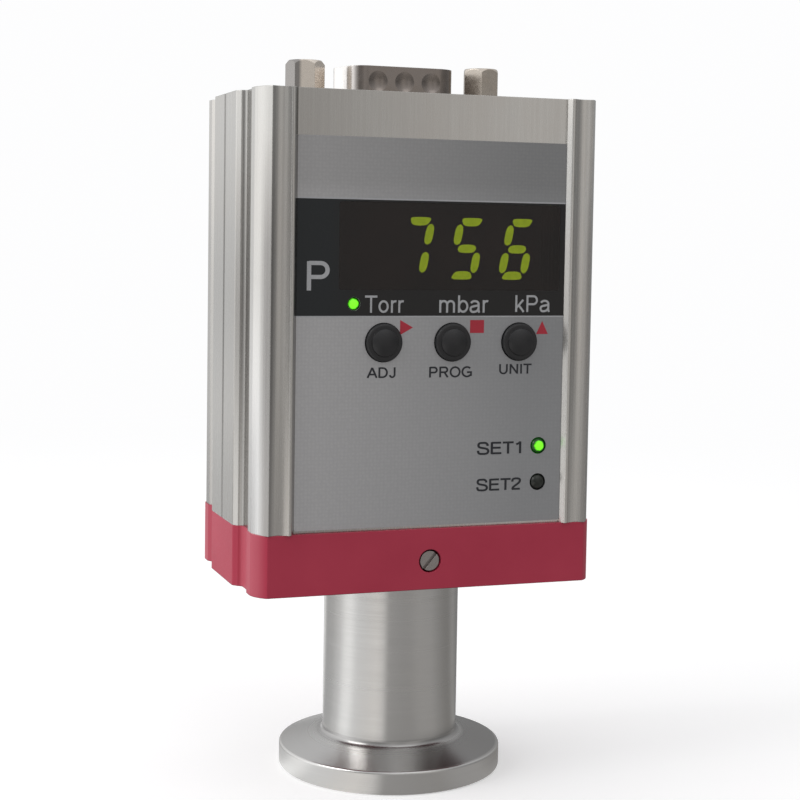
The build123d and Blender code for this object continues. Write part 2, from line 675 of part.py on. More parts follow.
with BuildPart() as link_header:
    with BuildSketch(Plane.XZ.offset(-brd_y1)):
        with Locations((0, 56)):
            Rectangle(2.5, 15.3)
    extrude(amount=-2.5)
    with BuildSketch(Plane.XZ.offset(-brd_y1)):
        with Locations((0, 56)):
            with GridLocations(1, 2.54, 1, 6):
                Rectangle(0.6, 0.6)
    extrude(amount=-8.0)
link_header.part.label = "link_header"
export_step(link_header.part, "parts/link_header.step")

with BuildPart() as preamp_board:
    with BuildSketch(Plane.XY.offset(40.6)):
        with Locations((0, 0.4)):
            Rectangle(18.0, 8.4)
        with Locations(*pin_spots):
            Circle(0.42, mode=Mode.SUBTRACT)
    extrude(amount=1.0)
preamp_board.part.label = "preamp_board"
export_step(preamp_board.part, "parts/preamp_board.step")

with BuildPart() as preamp_header:
    with BuildSketch(Plane.XY.offset(41.6)):
        with Locations((2.5, 3.6)):
            Rectangle(10.0, 2.6)
    extrude(amount=2.5)
preamp_header.part.label = "preamp_header"
export_step(preamp_header.part, "parts/preamp_header.step")

with BuildPart() as connector_header:
    with BuildSketch(Plane.XY.offset(77.0)):
        with Locations((0, dsub_y)):
            Rectangle(20.4, 1.9)
    extrude(amount=-2.5)
connector_header.part.label = "connector_header"
export_step(connector_header.part, "parts/connector_header.step")
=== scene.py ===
import bpy
import bmesh
import json
import math
from mathutils import Matrix, Vector


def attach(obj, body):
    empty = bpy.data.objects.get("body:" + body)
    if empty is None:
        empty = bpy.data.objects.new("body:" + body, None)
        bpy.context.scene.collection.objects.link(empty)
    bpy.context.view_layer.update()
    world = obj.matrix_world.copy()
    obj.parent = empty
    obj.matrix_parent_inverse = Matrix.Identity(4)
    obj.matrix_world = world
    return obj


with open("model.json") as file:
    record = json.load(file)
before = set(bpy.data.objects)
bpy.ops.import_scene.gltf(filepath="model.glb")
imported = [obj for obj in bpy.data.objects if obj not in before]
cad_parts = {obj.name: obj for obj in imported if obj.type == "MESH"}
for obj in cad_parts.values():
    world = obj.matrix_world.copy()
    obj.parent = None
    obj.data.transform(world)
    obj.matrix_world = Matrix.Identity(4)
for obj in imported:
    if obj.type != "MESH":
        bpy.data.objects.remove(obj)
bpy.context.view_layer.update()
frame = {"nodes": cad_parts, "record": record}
nodes = frame["nodes"]
MM = 0.001
ROOT = "transducer"

# ------------------------------------------------------------------ camera
# Stands in front of and to the left of the object, a little below its top.
psi, pitch, roll = math.radians(19.57), math.radians(3.91), 0.0156
right = Vector((math.cos(psi), -math.sin(psi), 0.0))
ahead = Vector((math.sin(psi), math.cos(psi), 0.0))
forward = ahead * math.cos(pitch) - Vector((0, 0, 1)) * math.sin(pitch)
up0 = ahead * math.sin(pitch) + Vector((0, 0, 1)) * math.cos(pitch)
cx_axis = right * math.cos(roll) + up0 * math.sin(roll)
cy_axis = up0 * math.cos(roll) - right * math.sin(roll)
cam_data = bpy.data.cameras.new("camera")
cam_data.sensor_fit = "HORIZONTAL"
cam_data.sensor_width = 36.0
cam_data.lens = 36.0 * 1672.71 / 800.0
cam_data.shift_x = -0.86 / 800.0
cam_data.shift_y = -50.25 / 800.0
cam_data.clip_start = 0.01
cam_data.clip_end = 100.0
cam = bpy.data.objects.new("camera", cam_data)
bpy.context.scene.collection.objects.link(cam)
place = Matrix.Identity(4)
for row in range(3):
    place[row][0] = cx_axis[row]
    place[row][1] = cy_axis[row]
    place[row][2] = -forward[row]
    place[row][3] = (-0.07462, -0.21239, 0.07173)[row]
cam.matrix_world = place
bpy.context.scene.camera = cam
bpy.context.scene.view_settings.view_transform = "Standard"


# ------------------------------------------------------------------ node helpers
class Mat:
    """A node material with one Principled shader and short calls to wire it."""

    def __init__(self, name):
        self.m = bpy.data.materials.new(name)
        self.m.use_nodes = True
        self.t = self.m.node_tree
        self.t.nodes.clear()
        self.out = self.t.nodes.new("ShaderNodeOutputMaterial")
        self.p = self.t.nodes.new("ShaderNodeBsdfPrincipled")
        self.t.links.new(self.p.outputs[0], self.out.inputs[0])

    def node(self, kind, **props):
        n = self.t.nodes.new(kind)
        for k, v in props.items():
            setattr(n, k, v)
        return n

    def put(self, socket, value):
        if isinstance(value, bpy.types.NodeSocket):
            self.t.links.new(value, socket)
        else:
            socket.default_value = value

    def set(self, **values):
        names = {"color": "Base Color", "metal": "Metallic", "rough": "Roughness", "ior": "IOR", "alpha": "Alpha",
                 "aniso": "Anisotropic", "aniso_rot": "Anisotropic Rotation", "tangent": "Tangent", "coat": "Coat Weight",
                 "coat_rough": "Coat Roughness", "emit": "Emission Color", "emit_s": "Emission Strength", "normal": "Normal",
                 "spec": "Specular IOR Level", "sss": "Subsurface Weight", "sheen": "Sheen Weight"}
        for k, v in values.items():
            self.put(self.p.inputs[names[k]], v)
        return self

    def mm(self, scale=(1, 1, 1)):
        """Place on the object at rest, in millimetres, times scale."""
        c = self.node("ShaderNodeTexCoord")
        s = self.node("ShaderNodeVectorMath", operation="MULTIPLY")
        self.put(s.inputs[0], c.outputs["Object"])
        self.put(s.inputs[1], tuple(1000.0 * x for x in scale))
        return s.outputs[0]

    def xyz(self, vector):
        n = self.node("ShaderNodeSeparateXYZ")
        self.put(n.inputs[0], vector)
        return n.outputs[0], n.outputs[1], n.outputs[2]

    def join(self, x, y, z):
        n = self.node("ShaderNodeCombineXYZ")
        for i, v in enumerate((x, y, z)):
            self.put(n.inputs[i], v)
        return n.outputs[0]

    def math(self, op, a, b=0.0, c=None, clamp=False):
        n = self.node("ShaderNodeMath", operation=op, use_clamp=clamp)
        self.put(n.inputs[0], a)
        self.put(n.inputs[1], b)
        if c is not None:
            self.put(n.inputs[2], c)
        return n.outputs[0]

    def noise(self, vector, scale=1.0, detail=3.0, rough=0.5, distort=0.0):
        n = self.node("ShaderNodeTexNoise")
        self.put(n.inputs["Vector"], vector)
        self.put(n.inputs["Scale"], scale)
        self.put(n.inputs["Detail"], detail)
        self.put(n.inputs["Roughness"], rough)
        self.put(n.inputs["Distortion"], distort)
        return n.outputs["Fac"]

    def voronoi(self, vector, scale=1.0, feature="F1", randomness=1.0):
        n = self.node("ShaderNodeTexVoronoi", feature=feature)
        self.put(n.inputs["Vector"], vector)
        self.put(n.inputs["Scale"], scale)
        self.put(n.inputs["Randomness"], randomness)
        return n.outputs["Distance"]

    def ramp(self, fac, low, high, a, b):
        """fac from low..high becomes a..b."""
        n = self.node("ShaderNodeMapRange")
        self.put(n.inputs["Value"], fac)
        self.put(n.inputs["From Min"], low)
        self.put(n.inputs["From Max"], high)
        self.put(n.inputs["To Min"], a)
        self.put(n.inputs["To Max"], b)
        return n.outputs[0]

    def mix(self, fac, a, b, blend="MIX"):
        n = self.node("ShaderNodeMix", data_type="RGBA", blend_type=blend)
        self.put(n.inputs[0], fac)
        self.put(n.inputs[6], a if isinstance(a, bpy.types.NodeSocket) else (*a, 1.0))
        self.put(n.inputs[7], b if isinstance(b, bpy.types.NodeSocket) else (*b, 1.0))
        return n.outputs[2]

    def bump(self, height, strength, distance, normal=None):
        n = self.node("ShaderNodeBump")
        self.put(n.inputs["Height"], height)
        self.put(n.inputs["Strength"], strength)
        self.put(n.inputs["Distance"], distance)
        if normal is not None:
            self.put(n.inputs["Normal"], normal)
        return n.outputs[0]

    def soft_edge(self, radius_mm, samples=4):
        n = self.node("ShaderNodeBevel", samples=samples)
        self.put(n.inputs["Radius"], radius_mm * MM)
        return n.outputs[0]


def shade(rgb, k):
    return tuple(min(1.0, c * k) for c in rgb)


# ------------------------------------------------------------------ materials
M = {}


def extruded(name, rgb, rough, edge=0.12):
    """Satin anodised aluminium with the fine lines that an extrusion die leaves."""
    m = Mat(name)
    lines = m.noise(m.mm((4.5, 4.5, 0.02)), 1.0, 5.0, 0.65)
    fine = m.noise(m.mm((16.0, 16.0, 0.5)), 1.0, 3.0, 0.6)
    cloud = m.noise(m.mm((0.10, 0.10, 0.05)), 1.0, 3.0, 0.55)
    both = m.math("ADD", m.math("MULTIPLY", lines, 0.6), m.math("MULTIPLY", fine, 0.4))
    base = m.mix(m.ramp(both, 0.35, 0.65, 0.0, 1.0), shade(rgb, 0.90), shade(rgb, 1.08))
    col = m.mix(m.ramp(cloud, 0.35, 0.7, 0.0, 1.0), base, m.mix(0.5, base, (0.66, 0.62, 0.58)))
    x, y, z = m.xyz(m.mm())
    # painted shade: the front is painted darker toward its left, most just inside the left lip
    left = m.math("MULTIPLY", m.ramp(x, -17.0, 12.0, 0.46, 0.0), m.ramp(x, -18.6, -18.0, 0.5, 1.0))
    col = m.mix(left, col, (0.20, 0.19, 0.18))
    # painted shade: the grooves behind the corner posts are painted darker
    ax, ay = m.math("ABSOLUTE", x), m.math("ABSOLUTE", y)
    groove_shade = m.math("MULTIPLY", m.ramp(ay, 6.35, 6.75, 0.0, 1.0), m.ramp(ay, 9.6, 10.0, 1.0, 0.0))
    groove_shade = m.math("MULTIPLY", groove_shade, m.ramp(ax, 22.2, 22.3, 0.0, 0.34))
    col = m.mix(groove_shade, col, (0.12, 0.115, 0.11))
    # the middle of the side is painted darker around mid-height
    dz = m.math("MULTIPLY", m.math("SUBTRACT", z, 64.0), 1.0 / 15.0)
    mid_side_dark = m.math("POWER", 2.718, m.math("MULTIPLY", m.math("MULTIPLY", dz, dz), -1.0))
    mid_side_dark = m.math("MULTIPLY", mid_side_dark, m.ramp(ay, 9.8, 10.6, 1.0, 0.15))
    col = m.mix(m.math("MULTIPLY", mid_side_dark, m.ramp(ax, 20.5, 22.4, 0.0, 0.40)), col, (0.16, 0.155, 0.15))
    # painted highlight: the front corner posts are painted brighter, most of all below the top
    low = m.ramp(z, 84.0, 70.0, 0.0, 1.0)
    post_highlight = m.math("MULTIPLY", m.ramp(ay, 10.6, 11.2, 0.0, 0.85), m.ramp(ax, 21.8, 22.5, 0.0, 1.0))
    post_highlight = m.math("MULTIPLY", post_highlight, m.ramp(y, -8.8, -8.2, 1.0, 0.0))
    col = m.mix(m.math("MULTIPLY", post_highlight, m.ramp(z, 66.0, 42.0, 0.04, 1.0)), col, (0.90, 0.895, 0.89))
    # painted shade: the rear post on the left side is painted darker, fading out toward the top
    rear_post_shade = m.math("MULTIPLY", m.ramp(y, 10.4, 10.9, 0.0, 0.34), m.ramp(x, -21.8, -22.5, 0.0, 1.0))
    col = m.mix(m.math("MULTIPLY", rear_post_shade, low), col, (0.16, 0.15, 0.15))
    # a darker line is painted down the middle of each side
    mid_side_line = m.math("MULTIPLY", m.ramp(ay, 0.25, 0.75, 0.55, 0.0), m.ramp(ax, 22.9, 23.2, 0.0, 1.0))
    col = m.mix(mid_side_line, col, (0.14, 0.135, 0.13))
    # painted shade: the corner arcs are painted darker, fading out toward the top
    corner = m.math("MULTIPLY", m.ramp(ay, 13.7, 14.5, 0.0, 1.0), m.ramp(ax, 20.6, 21.2, 0.0, 0.42))
    col = m.mix(m.math("MULTIPLY", corner, low), col, (0.16, 0.15, 0.15))
    m.set(color=col, metal=1.0, rough=m.ramp(both, 0.3, 0.7, rough - 0.05, rough + 0.07))
    m.set(normal=m.bump(both, 0.10, 0.00003, m.soft_edge(edge)))
    return m.m


def turned(name, rgb, rough, aniso=0.55, ring=9.0):
    """Turned stainless steel: rings round the vacuum axis."""
    m = Mat(name)
    x, y, z = m.xyz(m.mm())
    r = m.math("SQRT", m.math("ADD", m.math("MULTIPLY", x, x), m.math("MULTIPLY", y, y)))
    rings = m.noise(m.join(m.math("MULTIPLY", r, ring), m.math("MULTIPLY", z, ring), m.math("MULTIPLY", m.math("ARCTAN2", x, y), 0.35)), 1.0, 4.0, 0.7)
    broad = m.noise(m.join(m.math("MULTIPLY", r, 0.9), m.math("MULTIPLY", z, 0.9), 0.0), 1.0, 3.0, 0.6)
    smear = m.noise(m.mm((0.12, 0.12, 0.06)), 1.0, 3.0, 0.5)
    col = m.mix(m.ramp(rings, 0.3, 0.7, 0.0, 1.0), shade(rgb, 0.96), shade(rgb, 1.04))
    col = m.mix(m.ramp(smear, 0.4, 0.75, 0.0, 0.4), col, (0.60, 0.58, 0.55))
    # painted shade: the flange cone is painted darker toward its right side
    cone_shade = m.math("MULTIPLY", m.ramp(z, 3.0, 3.15, 0.0, 1.0), m.math("MULTIPLY", m.ramp(r, 9.6, 10.2, 0.0, 1.0), m.ramp(z, 4.7, 5.2, 1.0, 0.0)))
    cone_shade = m.math("MULTIPLY", cone_shade, m.ramp(x, -9.0, 3.0, 0.0, 0.62))
    col = m.mix(cone_shade, col, (0.10, 0.095, 0.095))
    # painted shade: a band round the neck above the cone is painted darker
    neck_shade = m.math("MULTIPLY", m.ramp(z, 4.3, 4.5, 0.0, 0.45), m.ramp(z, 5.0, 5.5, 1.0, 0.0))
    col = m.mix(neck_shade, col, (0.16, 0.155, 0.155))
    tan = m.node("ShaderNodeTangent", direction_type="RADIAL", axis="Z")
    m.set(color=col, metal=1.0, rough=m.ramp(broad, 0.3, 0.7, rough - 0.04, rough + 0.06),
          aniso=aniso, aniso_rot=0.25, tangent=tan.outputs[0])
    m.set(normal=m.bump(rings, 0.02, 0.00003, m.soft_edge(0.10)))
    return m.m


def plated(name, rgb, rough, grain=3.0, edge=0.08, painted_light_tones=()):
    """Plated small metal parts; painted_light_tones are (x0, x1, amount, colour) of areas painted brighter or darker,
    painted highlights and painted shade.
    """
    m = Mat(name)
    a = m.noise(m.mm(), grain, 4.0, 0.6)
    b = m.noise(m.mm(), 0.5, 3.0, 0.5)
    col = m.mix(m.ramp(a, 0.3, 0.7, 0.0, 1.0), shade(rgb, 0.95), shade(rgb, 1.05))
    col = m.mix(m.ramp(b, 0.4, 0.7, 0.0, 0.20), col, (rgb[0] * 0.9, rgb[1] * 0.8, rgb[2] * 0.66))
    x, y, z = m.xyz(m.mm())
    for x0, x1, amount, tone in painted_light_tones:
        col = m.mix(m.ramp(x, x0, x1, 0.0, amount), col, tone)
    m.set(color=col, metal=1.0, rough=m.ramp(a, 0.3, 0.7, rough - 0.04, rough + 0.06))
    m.set(normal=m.bump(a, 0.03, 0.00003, m.soft_edge(edge)))
    return m.m


def moulded(name, rgb, rough, grain=5.0, spec=0.5, edge=0.08, amount=0.12, bump=0.12):
    """Moulded plastic with a fine grain."""
    m = Mat(name)
    a = m.noise(m.mm(), grain, 3.0, 0.6)
    b = m.noise(m.mm(), 0.35, 3.0, 0.5)
    k = m.math("ADD", m.math("MULTIPLY", a, 0.6), m.math("MULTIPLY", b, 0.4))
    col = m.mix(m.ramp(k, 0.3, 0.7, 0.0, 1.0), shade(rgb, 1.0 - amount), shade(rgb, 1.0 + amount))
    m.set(color=col, rough=m.ramp(a, 0.3, 0.7, rough - 0.06, rough + 0.08), spec=spec)
    m.set(normal=m.bump(a, bump, 0.00003, m.soft_edge(edge)))
    return m.m


M["anodised_aluminium"] = extruded("anodised_aluminium", (0.70, 0.69, 0.665), 0.24)
M["milled_aluminium"] = extruded("milled_aluminium", (0.62, 0.62, 0.61), 0.34)
M["stainless"] = turned("stainless", (0.635, 0.63, 0.62), 0.24)
M["screw_steel"] = plated("screw_steel", (0.40, 0.375, 0.365), 0.28)
# nickel plate: the left standoff is painted brighter, a painted highlight, and its far left facet darker, painted
# shade
M["nickel_plate"] = plated("nickel_plate", (0.66, 0.60, 0.53), 0.24, 2.0, 0.10,
                           painted_light_tones=((4.0, -4.0, 1.0, (0.84, 0.77, 0.69)), (-13.5, -13.9, 0.9, (0.26, 0.25, 0.245))))
# tin plate: the left side of the shell is painted near-white, a painted reflection, and its right end lighter, a
# painted highlight
M["tin_plate"] = plated("tin_plate", (0.295, 0.262, 0.242), 0.24, 1.6, 0.12,
                        painted_light_tones=((-6.2, -7.4, 1.0, (0.98, 0.95, 0.93)), (6.5, 8.0, 0.5, (0.60, 0.56, 0.53))))
M["gold_plate"] = plated("gold_plate", (0.88, 0.66, 0.26), 0.22, 4.0)
M["alumina"] = moulded("alumina", (0.82, 0.80, 0.75), 0.55, 8.0)
M["seal_rubber"] = moulded("seal_rubber", (0.02, 0.02, 0.02), 0.6, 6.0)
M["display_body"] = moulded("display_body", (0.010, 0.009, 0.008), 0.45, 6.0, 0.35)
M["button_black"] = moulded("button_black", (0.018, 0.018, 0.020), 0.40, 9.0, 0.5, 0.06)
M["moulding_black"] = moulded("moulding_black", (0.022, 0.022, 0.024), 0.5, 6.0)
M["plunger_grey"] = moulded("plunger_grey", (0.28, 0.27, 0.26), 0.45, 6.0)
M["relay_white"] = moulded("relay_white", (0.72, 0.72, 0.69), 0.42, 5.0)
M["capacitor_can"] = plated("capacitor_can", (0.70, 0.70, 0.70), 0.3)
M["label_print"] = moulded("label_print", (0.028, 0.030, 0.036), 0.55, 7.0, 0.4, 0.01)
M["label_white"] = moulded("label_white", (0.50, 0.51, 0.53), 0.5, 7.0, 0.4, 0.01)
M["label_red"] = moulded("label_red", (0.52, 0.035, 0.060), 0.5, 7.0, 0.4, 0.01)
M["segment_dark"] = moulded("segment_dark", (0.030, 0.022, 0.016), 0.4, 6.0, 0.4, 0.03)


def red_paint():
    m = Mat("red_paint")
    peel = m.noise(m.mm(), 1.6, 2.0, 0.5)
    fine = m.noise(m.mm(), 7.0, 3.0, 0.6)
    cloud = m.noise(m.mm(), 0.12, 3.0, 0.5)
    col = m.mix(m.ramp(cloud, 0.3, 0.7, 0.0, 1.0), (0.520, 0.040, 0.084), (0.570, 0.050, 0.098))
    col = m.mix(m.ramp(fine, 0.62, 0.80, 0.0, 0.35), col, (0.56, 0.10, 0.14))
    x, y, z = m.xyz(m.mm())
    # painted highlight: the cap's left side is painted pinker and lighter toward its corners, a painted sheen
    post_sheen = m.math("MULTIPLY", m.ramp(m.math("ABSOLUTE", y), 6.3, 7.0, 0.0, 1.0), m.ramp(x, -21.6, -22.4, 0.0, 0.13))
    col = m.mix(post_sheen, col, (0.92, 0.40, 0.45))
    # painted shade: the underside of the cap is painted almost black
    col = m.mix(m.ramp(z, 26.76, 26.71, 0.0, 0.75), col, (0.05, 0.006, 0.010))
    m.set(color=col, rough=m.ramp(fine, 0.3, 0.7, 0.38, 0.50), spec=0.36)
    h = m.math("ADD", m.math("MULTIPLY", peel, 0.7), m.math("MULTIPLY", fine, 0.3))
    m.set(normal=m.bump(h, 0.14, 0.00005, m.soft_edge(0.16, 6)))
    return m.m


M["red_paint"] = red_paint()


def label_film():
    """Silver-grey label film, printed with a fine grid of dots."""
    m = Mat("label_film")
    dots = m.voronoi(m.mm(), 2.1, "F1", 0.35)
    grain = m.noise(m.mm(), 5.5, 2.0, 0.6)
    cloud = m.noise(m.mm(), 0.06, 2.0, 0.5)
    x, y, z = m.xyz(m.mm())
    col = m.mix(m.ramp(dots, 0.15, 0.55, 0.0, 1.0), (0.575, 0.575, 0.585), (0.505, 0.505, 0.517))
    col = m.mix(m.ramp(grain, 0.35, 0.65, 0.0, 0.5), col, (0.57, 0.57, 0.58))
    col = m.mix(m.ramp(cloud, 0.35, 0.65, 0.0, 0.30), col, (0.52, 0.52, 0.535))
    # painted shade and light: the film is painted darker and bluer toward its right, darker and warmer toward its top,
    # and a little lighter toward its bottom
    col = m.mix(m.ramp(x, -15.0, 13.0, 0.0, 0.52), col, (0.175, 0.190, 0.205))
    col = m.mix(m.ramp(z, 75.0, 78.5, 0.0, 0.20), col, (0.10, 0.094, 0.084))
    col = m.mix(m.ramp(z, 60.0, 45.0, 0.0, 0.07), col, (0.80, 0.80, 0.83))
    m.set(color=col, metal=0.55, rough=m.ramp(grain, 0.3, 0.7, 0.34, 0.44), spec=0.4)
    m.set(normal=m.bump(m.math("ADD", m.math("MULTIPLY", dots, 0.6), m.math("MULTIPLY", grain, 0.4)), 0.08, 0.00004))
    return m.m


M["label_film"] = label_film()


def label_black():
    m = Mat("label_black")
    grain = m.noise(m.mm(), 6.0, 3.0, 0.6)
    x, y, z = m.xyz(m.mm())
    # painted reflection: the black band is painted a little bluer at its left end
    side = m.ramp(x, -14.0, -9.0, 0.0, 1.0)
    a = m.mix(m.ramp(grain, 0.3, 0.7, 0.0, 1.0), (0.0125, 0.0160, 0.0185), (0.0175, 0.0205, 0.0230))
    b = m.mix(m.ramp(grain, 0.3, 0.7, 0.0, 1.0), (0.0130, 0.0125, 0.0125), (0.0180, 0.0170, 0.0170))
    m.set(color=m.mix(side, a, b), rough=m.ramp(grain, 0.3, 0.7, 0.34, 0.42), spec=0.4)
    m.set(normal=m.bump(grain, 0.04, 0.00003))
    return m.m


M["label_black"] = label_black()


def tinted_window():
    m = Mat("tinted_window")
    haze = m.noise(m.mm(), 0.16, 3.0, 0.55)
    fine = m.noise(m.mm(), 5.0, 2.0, 0.5)
    col = m.mix(m.ramp(haze, 0.35, 0.65, 0.0, 1.0), (0.013, 0.009, 0.008), (0.020, 0.012, 0.010))
    m.set(color=col, rough=m.ramp(fine, 0.3, 0.7, 0.16, 0.24), spec=0.5, alpha=0.78)
    m.set(normal=m.bump(haze, 0.02, 0.0002))
    return m.m


M["tinted_window"] = tinted_window()


def lit_segment():
    m = Mat("segment_lit")
    glow = m.noise(m.mm(), 1.3, 2.0, 0.5)
    col = m.mix(m.ramp(glow, 0.35, 0.65, 0.0, 1.0), (0.37, 0.50, 0.002), (0.43, 0.57, 0.006))
    m.set(color=(0.20, 0.26, 0.02, 1.0), rough=0.4, emit=col, emit_s=8.5)
    return m.m


M["segment_lit"] = lit_segment()


def lamp(name, x0, z0, lit):
    """Green diffusing lens.  A lit one is brightest in the middle, with a dark green rim."""
    m = Mat(name)
    x, y, z = m.xyz(m.mm())
    dx = m.math("SUBTRACT", x, x0)
    dz = m.math("SUBTRACT", z, z0)
    r = m.math("SQRT", m.math("ADD", m.math("MULTIPLY", dx, dx), m.math("MULTIPLY", dz, dz)))
    grain = m.noise(m.mm(), 3.0, 2.0, 0.5)
    r = m.math("ADD", r, m.math("MULTIPLY", m.math("SUBTRACT", grain, 0.5), 0.25))
    if lit:
        core = m.ramp(r, 0.48, 0.72, 1.0, 0.0)
        m.set(color=m.mix(core, (0.004, 0.030, 0.004), (0.06, 0.30, 0.02)), rough=0.25,
              emit=m.mix(core, (0.000, 0.022, 0.000), (0.17, 1.0, 0.012)), emit_s=1.25)
    else:
        m.set(color=m.mix(m.ramp(grain, 0.3, 0.7, 0.0, 1.0), (0.010, 0.014, 0.010), (0.018, 0.022, 0.017)), rough=0.28)
    m.set(normal=m.bump(grain, 0.05, 0.00005))
    return m.m


def circuit_board():
    m = Mat("circuit_board")
    weave = m.noise(m.mm((2.0, 2.0, 2.0)), 1.0, 3.0, 0.6)
    tracks = m.voronoi(m.mm(), 0.45, "DISTANCE_TO_EDGE", 0.9)
    col = m.mix(m.ramp(weave, 0.3, 0.7, 0.0, 1.0), (0.012, 0.12, 0.05), (0.02, 0.17, 0.075))
    col = m.mix(m.ramp(tracks, 0.04, 0.07, 1.0, 0.0), col, (0.05, 0.26, 0.12))
    m.set(color=col, rough=0.35, normal=m.bump(tracks, 0.05, 0.00005, m.soft_edge(0.05)))
    return m.m


M["circuit_board"] = circuit_board()

unit_z, set_x = 63.15, 14.85
lamp_spots = {"led_torr": (-10.6, unit_z, True), "led_mbar": (-0.8, unit_z, False), "led_kpa": (9.65, unit_z, False),
              "led_set1": (set_x, 44.75, True), "led_set2": (set_x, 40.0, False)}
node_slot = {s["node"]: s["material_slot"] for s in frame["record"]["subparts"]}
for name, obj in nodes.items():
    if name in lamp_spots:
        mat = lamp(name + "_lens", *lamp_spots[name])
    else:
        mat = M[node_slot[name]]
    obj.data.materials.clear()
    obj.data.materials.append(mat)


# ------------------------------------------------------------------ thin printed and lit pieces
def smooth_loop(points, rounds=2, cut=0.22):
    for _ in range(rounds):
        new = []
        for i, p in enumerate(points):
            q = points[(i + 1) % len(points)]
            new.append((p[0] + (q[0] - p[0]) * cut, p[1] + (q[1] - p[1]) * cut))
            new.append((q[0] + (p[0] - q[0]) * cut, q[1] + (p[1] - q[1]) * cut))
        points = new
    return points


def circle(x, z, r, n=40):
    return [(x + r * math.cos(2 * math.pi * i / n), z + r * math.sin(2 * math.pi * i / n)) for i in range(n)]


def rounded_rect(x0, x1, z0, z1, r, n=6):
    pts = []
    for cx, cz, a0 in ((x1 - r, z1 - r, 0), (x0 + r, z1 - r, 90), (x0 + r, z0 + r, 180), (x1 - r, z0 + r, 270)):
        for i in range(n + 1):
            a = math.radians(a0 + 90.0 * i / n)
            pts.append((cx + r * math.cos(a), cz + r * math.sin(a)))
    return pts


def to_mesh_piece(curve_obj, name, mat):
    """Turn a curve or text into a closed mesh of its own, riding on the root body."""
    bpy.context.view_layer.update()
    graph = bpy.context.evaluated_depsgraph_get()
    mesh = bpy.data.meshes.new_from_object(curve_obj.evaluated_get(graph))
    mesh.transform(curve_obj.matrix_world)
    mesh.name = name
    piece = bpy.data.objects.new(name, mesh)
    bpy.context.scene.collection.objects.link(piece)
    data = curve_obj.data
    bpy.data.objects.remove(curve_obj)
    bpy.data.curves.remove(data)
    mesh.materials.clear()
    mesh.materials.append(mat)
    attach(piece, ROOT)
    return piece


STAND = Matrix(((1, 0, 0, 0), (0, 0, -1, 0), (0, 1, 0, 0), (0, 0, 0, 1)))   # curve x, y -> object x, z


def film(name, loops, y_front, thick, mat):
    """Flat film between y_front and y_front + thick; loops in millimetres, holes are inner loops."""
    curve = bpy.data.curves.new(name + "_line", "CURVE")
    curve.dimensions = "2D"
    curve.fill_mode = "BOTH"
    curve.extrude = thick / 2 * MM
    for loop in loops:
        s = curve.splines.new("POLY")
        s.points.add(len(loop) - 1)
        for i, (x, z) in enumerate(loop):
            s.points[i].co = (x * MM, z * MM, 0, 1)
        s.use_cyclic_u = True
    obj = bpy.data.objects.new(name + "_line", curve)
    bpy.context.scene.collection.objects.link(obj)
    obj.matrix_world = Matrix.Translation((0, (y_front + thick / 2) * MM, 0)) @ STAND
    return to_mesh_piece(obj, name, mat)


def smooth_path(points, closed=False, rounds=3):
    """Cut the corners of a path; an open path keeps its two ends."""
    for _ in range(rounds):
        new = [] if closed else [points[0]]
        last = len(points) if closed else len(points) - 1
        for i in range(last):
            p, q = points[i], points[(i + 1) % len(points)]
            if closed or i > 0:
                new.append((0.75 * p[0] + 0.25 * q[0], 0.75 * p[1] + 0.25 * q[1]))
            if closed or i < last - 1:
                new.append((0.25 * p[0] + 0.75 * q[0], 0.25 * p[1] + 0.75 * q[1]))
        if not closed:
            new.append(points[-1])
        points = new
    return points


def arc(cx, cz, rx, rz, a0, a1, n=14):
    return [(cx + rx * math.cos(math.radians(a0 + (a1 - a0) * i / n)), cz + rz * math.sin(math.radians(a0 + (a1 - a0) * i / n)))
            for i in range(n + 1)]


def ring(cx, cz, rx, rz):
    return arc(cx, cz, rx, rz, 0, 360 - 360 / 28, 27)


